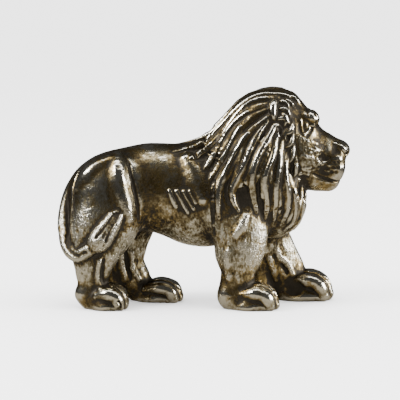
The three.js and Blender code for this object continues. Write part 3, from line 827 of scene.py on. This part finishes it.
    def lay(self, carving: Carving, courses: list[Course], seam: float) -> list[Rope]:
        """Drapes locks or strands on the mound and makes a rope of each.

        Args:
            carving: The figure so far, with the mound and no lock on it.
            courses: The locks or strands.
            seam: How softly they join.

        Returns:
            The ropes, which aren't part of the figure yet.
        """
        loose = np.vstack([one.points for one in courses])
        height = np.concatenate([one.proud - one.radii for one in courses])
        draped = carving.drape(loose, height).reshape(len(courses), -1, 3)
        for _ in range(self.ease):
            draped[:, 1:-1] = (draped[:, :-2] + 2 * draped[:, 1:-1] + draped[:, 2:]) / 4
        return [Rope(seam, Side.ONE, Work.ADD, points, one.radii)
                for points, one in zip(draped, courses)]

    def model(self, carving: Carving) -> tuple[list[Rope], list[Rope]]:
        """Makes the locks, the ear and the curls, and the strands that are drawn on them.

        Args:
            carving: The figure so far, with the mound and no lock on it.

        Returns:
            The locks with the ear and the curls, and the strands.
        """
        dice = np.random.default_rng(11)
        locks, strands = [], []
        for side in (1, -1):
            # the lock along the crown's middle is the left side's alone
            for line in range(0 if side > 0 else 1, len(self.FLOW)):
                lock, drawn = self.comb(line, side, dice)
                locks.append(lock)
                strands += drawn
            for curl in (self.EAR, *self.RUFF):
                path = smooth_path(np.array(curl, float) * SHARE, self.steps) * (1, side, 1)
                is_ear = curl is self.EAR
                half = self.thickness * (0.27 if is_ear else dice.uniform(0.15, 0.2))
                proud = self.rise * (1.1 if is_ear else dice.uniform(0.5, 0.8))
                locks.append(Course(path, half * self.taper, proud))
        return (self.lay(carving, locks, self.lock_seam),
                self.lay(carving, strands, self.strand_seam))


@dataclass
class Tail:
    """The tail down the rump and forward under the thigh, with its leaf-shaped tuft."""

    thickness: float = 2.9  # across the tail, in millimetres
    tuft_grooves: int = 3

    def model(self, carving: Carving) -> None:
        """Builds the tail and its tuft, and carves grooves along both.

        Args:
            carving: The figure so far.
        """
        r = self.thickness / 2 / SHARE[0]
        carving.limb([
            (-36, 0, 48.5, r), (-42, -0.5, 44, r), (-46, -2, 37, r), (-47.4, -4.5, 28.5, r),
            (-46, -9.5, 21, r), (-42.4, -13.5, 18.4, r), (-38.4, -16, 20.6, r),
        ], seam=0.5)
        carving.limb([(-37.8, -15.8, 21, 2), (-34.4, -16, 24.4, 4), (-31, -15.2, 29.5, 3.4),
                      (-26.4, -13.4, 35.6, 0.8)], seam=0.3)
        for groove in range(self.tuft_grooves):
            root = (-33.4 - 1.5 * groove, 20, 21.8 + 1.6 * groove)
            middle = (-30.5 - 1.1 * groove, 20, 27.8 + 1.1 * groove)
            tip = (-27.6 - 0.4 * groove, 16, 33.8 + 0.4 * groove)
            carving.ridge([root, middle, tip], 0.8, 0.5, -1, Work.CUT)
        carving.ridge([(-47.6, 9, 31), (-46.8, 13, 23.6), (-43.4, 17, 18.8), (-40, 19, 19.8)],
                      1.2, 0.35, -1, Work.CUT)


def srgb(colour: str) -> tuple[float, float, float]:
    """Turns an sRGB hex colour into linear red, green and blue.

    Args:
        colour: Six hex digits after a hash.

    Returns:
        The three linear values.
    """
    channels = [int(colour[i:i + 2], 16) / 255 for i in (1, 3, 5)]
    return tuple(c / 12.92 if c <= 0.04045 else ((c + 0.055) / 1.055) ** 2.4 for c in channels)


def node(
    tree: bpy.types.NodeTree, kind: str, links: dict | None = None, **settings: object,
) -> bpy.types.Node:
    """Adds a node with its settings and its links.

    Args:
        tree: The node tree it goes into.
        kind: The node's type.
        links: What feeds each input: a socket, or a plain value.
        settings: Properties of the node.

    Returns:
        The new node.
    """
    made = tree.nodes.new(kind)
    for name, value in settings.items():
        setattr(made, name, value)
    for name, value in (links or {}).items():
        socket = made.inputs[name] if isinstance(name, int) else next(
            one for one in made.inputs if one.name == name and one.enabled)
        if isinstance(value, bpy.types.NodeSocket):
            tree.links.new(value, socket)
        else:
            socket.default_value = value
    return made


@dataclass(frozen=True)
class AntiquedSilverPlate:
    """Silver-plated white metal, darkened with a brown patina and rubbed bright again.

    The crests are bare plate and mirror the room, the recesses keep the patina and stay
    nearly black, and in between the worn plate is warm and brassy.
    """

    bright: str = "#f2ecda"
    worn: str = "#a59d84"
    brass: str = "#ad9560"
    brown: str = "#6b5c3e"
    dark: str = "#312c23"
    cloud_size: float = 4.0  # patches of patina, in millimetres
    rub_size: float = 1.0  # marks of the rubbing cloth
    speck_size: float = 0.4  # pits that keep the patina; drawn twice as coarse to show
    fur_size: tuple = (0.5, 0.5, 1.2)  # short strokes of the coat, low on the body
    tint_size: float = 7.0  # brassy and silvery patches
    cloud_weight: float = 0.75  # how much each pattern does to how bare the plate is
    rub_weight: float = 0.7
    speck_weight: float = 0.5
    # scales the coat's strokes and a painted reflection: the strokes also lift every coarse place paler
    coat_and_reflection_weight: float = 1.6
    shelter_weight: float = -0.5
    mark_depth: float = 0.14  # of the rubbing cloth's marks, in millimetres
    cast_depth: float = 0.16  # of the coarse cast skin

    def make(self) -> bpy.types.Material:
        """Builds the material.

        Returns:
            The material, which reads the piece's own attributes `crest`, `shelter` and `coarse`.
        """
        material = bpy.data.materials.new("antiqued_silver_plate")
        material.use_nodes = True
        tree = material.node_tree
        tree.nodes.clear()
        place = node(tree, "ShaderNodeTexCoord").outputs["Object"]
        crest = node(tree, "ShaderNodeAttribute", attribute_name="crest").outputs["Fac"]
        shelter = node(tree, "ShaderNodeAttribute", attribute_name="shelter").outputs["Fac"]
        coarse = node(tree, "ShaderNodeAttribute", attribute_name="coarse").outputs["Fac"]
        strokes = node(tree, "ShaderNodeMapping", {
            "Vector": place, "Rotation": (0.0, math.radians(-38), 0.0),
            "Scale": tuple(1 / (size * MM) for size in self.fur_size),
        }).outputs["Vector"]
        cloud, rub, speck, tint = (
            node(tree, "ShaderNodeTexNoise", {
                "Vector": place, "Scale": 1 / (size * MM), "Detail": detail, "Roughness": 0.62,
            }).outputs["Fac"]
            for size, detail in ((self.cloud_size, 3.0), (self.rub_size, 3.0), (self.speck_size, 2.0),
                                 (self.tint_size, 4.0))
        )
        fur = node(tree, "ShaderNodeTexNoise", {
            "Vector": strokes, "Scale": 1.0, "Detail": 2.0, "Roughness": 0.6,
        }).outputs["Fac"]
        # how far the plate is rubbed bare: crests most, recesses least, unevenly
        bare = node(tree, "ShaderNodeMath", {
            0: shelter, 1: self.shelter_weight, 2: crest,
        }, operation="MULTIPLY_ADD").outputs[0]
        # strokes of the coat where the cast skin is coarse; as the fur noise mostly sits above 0.45, they
        # also paint the whole coarse band paler, a painted reflection of the bright table on the belly and
        # legs
        coat_and_reflection = node(tree, "ShaderNodeMath", {0: fur, 1: 0.45}, operation="SUBTRACT").outputs[0]
        coat_and_reflection = node(tree, "ShaderNodeMath", {0: coat_and_reflection, 1: coarse}, operation="MULTIPLY").outputs[0]
        bare = node(tree, "ShaderNodeMath", {
            0: coat_and_reflection, 1: self.coat_and_reflection_weight, 2: bare,
        }, operation="MULTIPLY_ADD").outputs[0]
        for noise, weight in (
            (cloud, self.cloud_weight), (rub, self.rub_weight), (speck, self.speck_weight),
        ):
            level = node(tree, "ShaderNodeMath", {0: noise, 1: 0.5}, operation="SUBTRACT").outputs[0]
            bare = node(tree, "ShaderNodeMath", {
                0: level, 1: weight, 2: bare,
            }, operation="MULTIPLY_ADD").outputs[0]
        silvery, brassy = (node(tree, "ShaderNodeValToRGB", {"Fac": bare}) for _ in range(2))
        # from the patina of a recess to the bare plate of a crest
        for ramp, worn in ((silvery, self.worn), (brassy, self.brass)):
            stops = ramp.color_ramp.elements
            stops[0].position, stops[0].color = 0.12, (*srgb(self.dark), 1)
            stops[1].position, stops[1].color = 0.82, (*srgb(self.bright), 1)
            for position, colour in ((0.3, self.brown), (0.54, worn)):
                stops.new(position).color = (*srgb(colour), 1)
        patch = node(tree, "ShaderNodeMapRange", {
            "Value": tint, "From Min": 0.44, "From Max": 0.62,
        }).outputs["Result"]
        colour = node(tree, "ShaderNodeMix", {
            "Factor": patch, "A": silvery.outputs["Color"], "B": brassy.outputs["Color"],
        }, data_type="RGBA").outputs["Result"]
        polish = node(tree, "ShaderNodeMapRange", {
            "Value": bare, "From Min": 0.1, "From Max": 0.8, "To Min": 0.4, "To Max": 0.12,
        }).outputs["Result"]
        rough = node(tree, "ShaderNodeMath", {
            0: coarse, 1: 0.16, 2: polish,
        }, operation="MULTIPLY_ADD").outputs[0]
        # the thick patina in a recess is a dull crust, no mirror
        metal = node(tree, "ShaderNodeMapRange", {
            "Value": bare, "From Min": 0.05, "From Max": 0.3, "To Min": 0.8, "To Max": 1.0,
        }).outputs["Result"]
        relief = node(tree, "ShaderNodeMath", {0: fur, 1: speck}, operation="ADD").outputs[0]
        cast = node(tree, "ShaderNodeBump", {
            "Height": relief, "Strength": coarse, "Distance": self.cast_depth * MM,
        }).outputs["Normal"]
        marks = node(tree, "ShaderNodeBump", {
            "Height": rub, "Strength": 0.5, "Distance": self.mark_depth * MM, "Normal": cast,
        }).outputs["Normal"]
        shader = node(tree, "ShaderNodeBsdfPrincipled", {
            "Base Color": colour, "Metallic": metal, "Roughness": rough, "Normal": marks,
        })
        node(tree, "ShaderNodeOutputMaterial", {"Surface": shader.outputs["BSDF"]})
        return material


@dataclass(frozen=True)
class PaleCard:
    """Matt white card under the figure: plain, with no gloss to mirror it.

    In the metal its colour is painted: darker than white, and darkest away from the figure, a painted
    reflection of a small table in a dim room.
    """

    colour: str = "#ffffff"
    # painted reflection: the colours the card takes when the metal mirrors it, near the figure and far from
    # it
    mirrored_near: str = "#67635b"
    mirrored_far: str = "#141312"
    near: float = 0.03  # how far from the figure's middle the mirrored card stays bright, in metres
    far: float = 0.16

    def make(self) -> bpy.types.Material:
        """Builds the material.

        Returns:
            The material, which is white to the eye and, as a painted reflection, darker in a mirror.
        """
        material = bpy.data.materials.new("matt_white_card")
        material.use_nodes = True
        tree = material.node_tree
        tree.nodes.clear()
        place = node(tree, "ShaderNodeTexCoord").outputs["Object"]
        away = node(tree, "ShaderNodeVectorMath", {0: place}, operation="LENGTH").outputs["Value"]
        share = node(tree, "ShaderNodeMapRange", {
            "Value": away, "From Min": self.near, "From Max": self.far,
        }, interpolation_type="SMOOTHSTEP").outputs["Result"]
        mirrored = node(tree, "ShaderNodeMix", {
            "Factor": share, "A": (*srgb(self.mirrored_near), 1), "B": (*srgb(self.mirrored_far), 1),
        }, data_type="RGBA")
        # painted reflection: where the metal mirrors the card, it takes the darker mirrored colour instead
        # of white
        seen = node(tree, "ShaderNodeLightPath").outputs["Is Glossy Ray"]
        colour = node(tree, "ShaderNodeMix", {
            "Factor": seen, "A": (*srgb(self.colour), 1), "B": mirrored.outputs["Result"],
        }, data_type="RGBA")
        shader = node(tree, "ShaderNodeBsdfDiffuse", {"Color": colour.outputs["Result"]})
        node(tree, "ShaderNodeOutputMaterial", {"Surface": shader.outputs["BSDF"]})
        return material


@dataclass
class Lion:
    """The whole figure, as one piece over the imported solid."""

    first_skin: float = 0.5  # size of the skin's quads before the first carving, in millimetres
    skin: float = 0.22  # their size before the last one
    most_triangles: int = 196000
    node_name: str = "lion"

    COARSE_HEIGHTS = ((4.5, 8.5, 17.0, 24.0), (0.15, 0.8, 1.0, 0.15))  # millimetres up, and how coarse
    CHEEK = (33.0, 0.0, 53.0)  # its middle, in shares of the lion's size
    COARSE_CHEEK = ((3.0, 6.5), (0.7, 0.0))  # millimetres from its middle, and how coarse
    WAX = ((3.6, 0.1), (1.4, 0.05))  # size and height of the lumps that the wax had
    CREST_TURNS = (4, 16)  # how often the surface is averaged, for narrow crests and for broad ones
    CREST_LEVEL = 0.42  # what a flat stretch counts as
    CREST_GAIN = 7.0  # what a millimetre of height adds
    SHELTER = ((0.5, 0.3), (1.0, 0.3), (2.2, 0.25), (4.5, 0.25))  # millimetres out, and its weight

    def copy_solid(self) -> bpy.types.Object:
        """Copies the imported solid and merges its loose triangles.

        Returns:
            A new object in the scene, in metres.
        """
        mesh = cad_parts[self.node_name].data.copy()
        shell = bmesh.new()
        shell.from_mesh(mesh)
        bmesh.ops.remove_doubles(shell, verts=shell.verts, dist=0.001 * MM)
        shell.to_mesh(mesh)
        shell.free()
        mesh.materials.clear()
        piece = bpy.data.objects.new("lion_figure", mesh)
        bpy.context.scene.collection.objects.link(piece)
        return piece

    def apply(self, piece: bpy.types.Object) -> None:
        """Makes the piece's modifiers part of its mesh.

        Args:
            piece: The piece.
        """
        graph = bpy.context.evaluated_depsgraph_get()
        piece.data = bpy.data.meshes.new_from_object(piece.evaluated_get(graph))
        piece.modifiers.clear()

    def reskin(self, piece: bpy.types.Object, size: float) -> None:
        """Replaces the piece's mesh with even quads.

        Args:
            piece: The piece.
            size: The size of a quad, in millimetres.
        """
        remesh = piece.modifiers.new("skin", "REMESH")
        remesh.mode = "VOXEL"
        remesh.voxel_size = size * MM
        self.apply(piece)

    def thin(self, piece: bpy.types.Object) -> None:
        """Takes out the faces that show least, and keeps them on the locks and the face.

        Args:
            piece: The piece.
        """
        piece.data.calc_loop_triangles()
        share = self.most_triangles / len(piece.data.loop_triangles)
        if share < 1:
            piece.modifiers.new("thinner", "DECIMATE").ratio = share
            self.apply(piece)

    def polish(self, piece: bpy.types.Object, turns: int) -> None:
        """Smooths the skin, which takes the teeth off sharp creases.

        Args:
            piece: The piece.
            turns: How often each point moves half way to the middle of those beside it.
        """
        polish = piece.modifiers.new("polish", "SMOOTH")
        polish.factor, polish.iterations = 0.5, turns
        self.apply(piece)

    def read(self, piece: bpy.types.Object, what: str) -> np.ndarray:
        """Reads three numbers for each point of the piece.

        Args:
            piece: The piece.
            what: Blender's name for them: co for places and normal for directions.

        Returns:
            The numbers, one point a row.
        """
        flat = np.empty(len(piece.data.vertices) * 3, np.float32)
        piece.data.vertices.foreach_get(what, flat)
        return flat.reshape(-1, 3)

    def points(self, piece: bpy.types.Object) -> np.ndarray:
        """Reads the piece's points in the carving's millimetres."""
        return self.read(piece, "co").astype(float) / MM + CENTRED

    def settle(self, piece: bpy.types.Object, carving: Carving, turns: int, most: float) -> None:
        """Moves the skin onto the carved form.

        Args:
            piece: The piece.
            carving: The form.
            turns: How many steps it takes.
            most: How far a point may move in all, in millimetres.
        """
        start = self.points(piece)
        height = sum(proud * lumps(start, size, seed) for seed, (size, proud) in enumerate(self.WAX))
        move = carving.drape(start, height, turns) - start
        far = np.linalg.norm(move, axis=1)
        move *= np.minimum(1, most / np.maximum(far, 1e-9))[:, None]
        moved = start + move
        moved[:, 2] = np.maximum(moved[:, 2], 0)  # the soles stay flat on the ground
        piece.data.vertices.foreach_set("co", ((moved - CENTRED) * MM).astype(np.float32).ravel())
        piece.data.update()

    def note(self, piece: bpy.types.Object, name: str, values: np.ndarray) -> None:
        """Keeps a value for each point, which the material reads."""
        layer = piece.data.attributes.new(name, "FLOAT", "POINT")
        layer.data.foreach_set("value", values.astype(np.float32))

    def crest(self, piece: bpy.types.Object) -> np.ndarray:
        """Measures how proud each point is of the surface round it.

        Args:
            piece: The piece.

        Returns:
            From 0, deep in a recess, to 1, on a crest.
        """
        edges = np.empty(len(piece.data.edges) * 2, np.int32)
        piece.data.edges.foreach_get("vertices", edges)
        a, b = edges.reshape(-1, 2).T
        start, normals = self.points(piece), self.read(piece, "normal")
        size = len(start)
        beside = np.maximum(np.bincount(a, minlength=size) + np.bincount(b, minlength=size), 1)
        near, total = start, np.zeros(size)
        for turn in range(1, max(self.CREST_TURNS) + 1):
            near = np.stack([
                np.bincount(a, near[b, i], size) + np.bincount(b, near[a, i], size) for i in range(3)
            ], axis=1) / beside[:, None]
            if turn in self.CREST_TURNS:
                total += np.sum((start - near) * normals, axis=1) / math.sqrt(turn)
        return np.clip(self.CREST_LEVEL + total * self.CREST_GAIN, 0, 1)

    def coarse(self, piece: bpy.types.Object) -> np.ndarray:
        """Tells where the cast skin is left coarse: belly, legs and cheeks, not the paws. The material also
        paints these places paler, a painted reflection of the bright table.

        Args:
            piece: The piece.

        Returns:
            From 0, polished, to 1, as cast.
        """
        place = self.points(piece)
        share = np.interp(place[:, 2], *self.COARSE_HEIGHTS)
        cheek = np.linalg.norm((place - at(*self.CHEEK)) * (1, 0.3, 1), axis=1)
        return np.maximum(share, np.interp(cheek, *self.COARSE_CHEEK))

    def shelter(self, piece: bpy.types.Object, carving: Carving) -> np.ndarray:
        """Measures how sheltered each point is, by how soon metal is met above it.

        Args:
            piece: The piece.
            carving: The form that it follows.

        Returns:
            From 0, in the open, to 1, deep in a recess.
        """
        start, normals = self.points(piece), self.read(piece, "normal")
        total = np.zeros(len(start))
        for height, weight in self.SHELTER:
            d, _ = carving.surface(start + normals * height)
            total += weight * np.clip(1.1 - d / height, 0, 1)
        return np.clip(total * 1.5, 0, 1)

    def model(self) -> tuple[Carving, list[Rope]]:
        """Builds the form that the skin is carved to.

        Returns:
            The form with all but its strands, and the strands.
        """
        carving, mane, head = Carving(), Mane(), Head()
        Trunk().model(carving)
        HindLegs().model(carving)
        ForeLegs().model(carving)
        head.model(carving)
        mane.mound(carving)
        Muscles().model(carving)
        Tendons().model(carving)
        head.chase(carving)
        locks, strands = mane.model(carving)
        carving.forms += locks
        Tail().model(carving)
        return carving, strands

    def build(self) -> bpy.types.Object:
        """Builds, carves and finishes the figure.

        Returns:
            The finished piece.
        """
        carving, strands = self.model()
        piece = self.copy_solid()
        self.reskin(piece, self.first_skin)
        self.settle(piece, carving, turns=4, most=0.9)
        log.info("first carving: %d points", len(piece.data.vertices))
        carving.forms += strands
        self.reskin(piece, self.skin)
        self.settle(piece, carving, turns=3, most=0.7)
        self.polish(piece, turns=2)
        self.settle(piece, carving, turns=1, most=0.12)
        self.thin(piece)
        self.polish(piece, turns=2)
        log.info("last carving: %d points, %d forms", len(piece.data.vertices), len(carving.forms))
        piece.data.polygons.foreach_set("use_smooth", np.ones(len(piece.data.polygons), bool))
        self.note(piece, "crest", self.crest(piece))
        self.note(piece, "shelter", self.shelter(piece, carving))
        self.note(piece, "coarse", self.coarse(piece))
        piece.data.materials.append(AntiquedSilverPlate().make())
        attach(piece, "root")
        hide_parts(self.node_name)
        return piece


@dataclass
class Studio:
    """The pale table, the camera and the lights."""

    target: Vector = field(default_factory=lambda: Vector((-0.00079, 0.0, 0.0223)))
    distance: float = 0.42
    elevation: float = 6.0  # degrees above the horizon
    view_width: float = 0.0849  # across the picture at the target, in metres
    table_size: float = 3.0
    ambient: float = 3.4  # white light on the card
    dimness: float = 0.055  # the room as the metal mirrors it

    SOFTBOXES = (  # the name of each, its place and its size in metres, and its power in watts
        ("top_box", (0.0, -0.12, 0.5), (1.1, 0.1), 1.8),
        ("left_box", (-0.42, -0.2, 0.36), (0.2, 0.2), 3.0),
        ("right_box", (0.6, -0.05, 0.16), (0.4, 0.3), 5.2),
    )

    def camera(self) -> None:
        """Sets the camera where the photograph was taken from."""
        lens = bpy.data.cameras.new("camera")
        lens.sensor_width = 36
        lens.lens = 18 / (self.view_width / 2 / self.distance)
        lens.clip_start, lens.clip_end = 0.01, 20
        holder = bpy.data.objects.new("camera", lens)
        lean = math.radians(self.elevation)
        back = Vector((0, -math.cos(lean), math.sin(lean)))
        holder.location = self.target + back * self.distance
        holder.rotation_euler = (-back).to_track_quat("-Z", "Y").to_euler()
        bpy.context.scene.collection.objects.link(holder)
        bpy.context.scene.camera = holder

    def table(self) -> None:
        """Lays the pale table."""
        shell = bmesh.new()
        bmesh.ops.create_grid(shell, x_segments=1, y_segments=1, size=self.table_size)
        mesh = bpy.data.meshes.new("table")
        shell.to_mesh(mesh)
        shell.free()
        mesh.materials.append(PaleCard().make())
        table = bpy.data.objects.new("table", mesh)
        bpy.context.scene.collection.objects.link(table)

    def lamp(self, name: str, place: tuple, size: tuple, power: float) -> None:
        """Hangs one softbox that faces the figure.

        Args:
            name: The lamp's name.
            place: Where it hangs, in metres.
            size: Its width and height, in metres.
            power: Its power in watts.
        """
        light = bpy.data.lights.new(name, "AREA")
        light.shape = "RECTANGLE"
        light.size, light.size_y = size
        light.energy = power
        holder = bpy.data.objects.new(name, light)
        holder.location = place
        holder.rotation_euler = (self.target - Vector(place)).to_track_quat("-Z", "Y").to_euler()
        bpy.context.scene.collection.objects.link(holder)

    def room(self) -> None:
        """Lights the card evenly with white, in a room that the metal mirrors as dim."""
        world = bpy.data.worlds.new("room")
        world.use_nodes = True
        bpy.context.scene.world = world
        tree = world.node_tree
        tree.nodes.clear()
        mirrored = node(tree, "ShaderNodeLightPath").outputs["Is Glossy Ray"]
        strength = node(tree, "ShaderNodeMapRange", {
            "Value": mirrored, "To Min": self.ambient, "To Max": self.dimness,
        }).outputs["Result"]
        back = node(tree, "ShaderNodeBackground", {"Color": (*srgb("#ffffff"), 1), "Strength": strength})
        node(tree, "ShaderNodeOutputWorld", {"Surface": back.outputs["Background"]})

    def build(self) -> None:
        """Sets the camera, the table, the room's light and the softboxes."""
        self.camera()
        self.table()
        self.room()
        for softbox in self.SOFTBOXES:
            self.lamp(*softbox)


def main() -> None:
    """Builds the scene and reports each piece."""
    logging.basicConfig(level=logging.INFO, format="%(name)s: %(message)s")
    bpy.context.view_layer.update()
    Studio().build()
    piece = Lion().build()
    log.info("%s: %d faces", piece.name, len(piece.data.polygons))


if __name__ == "__main__":
    main()
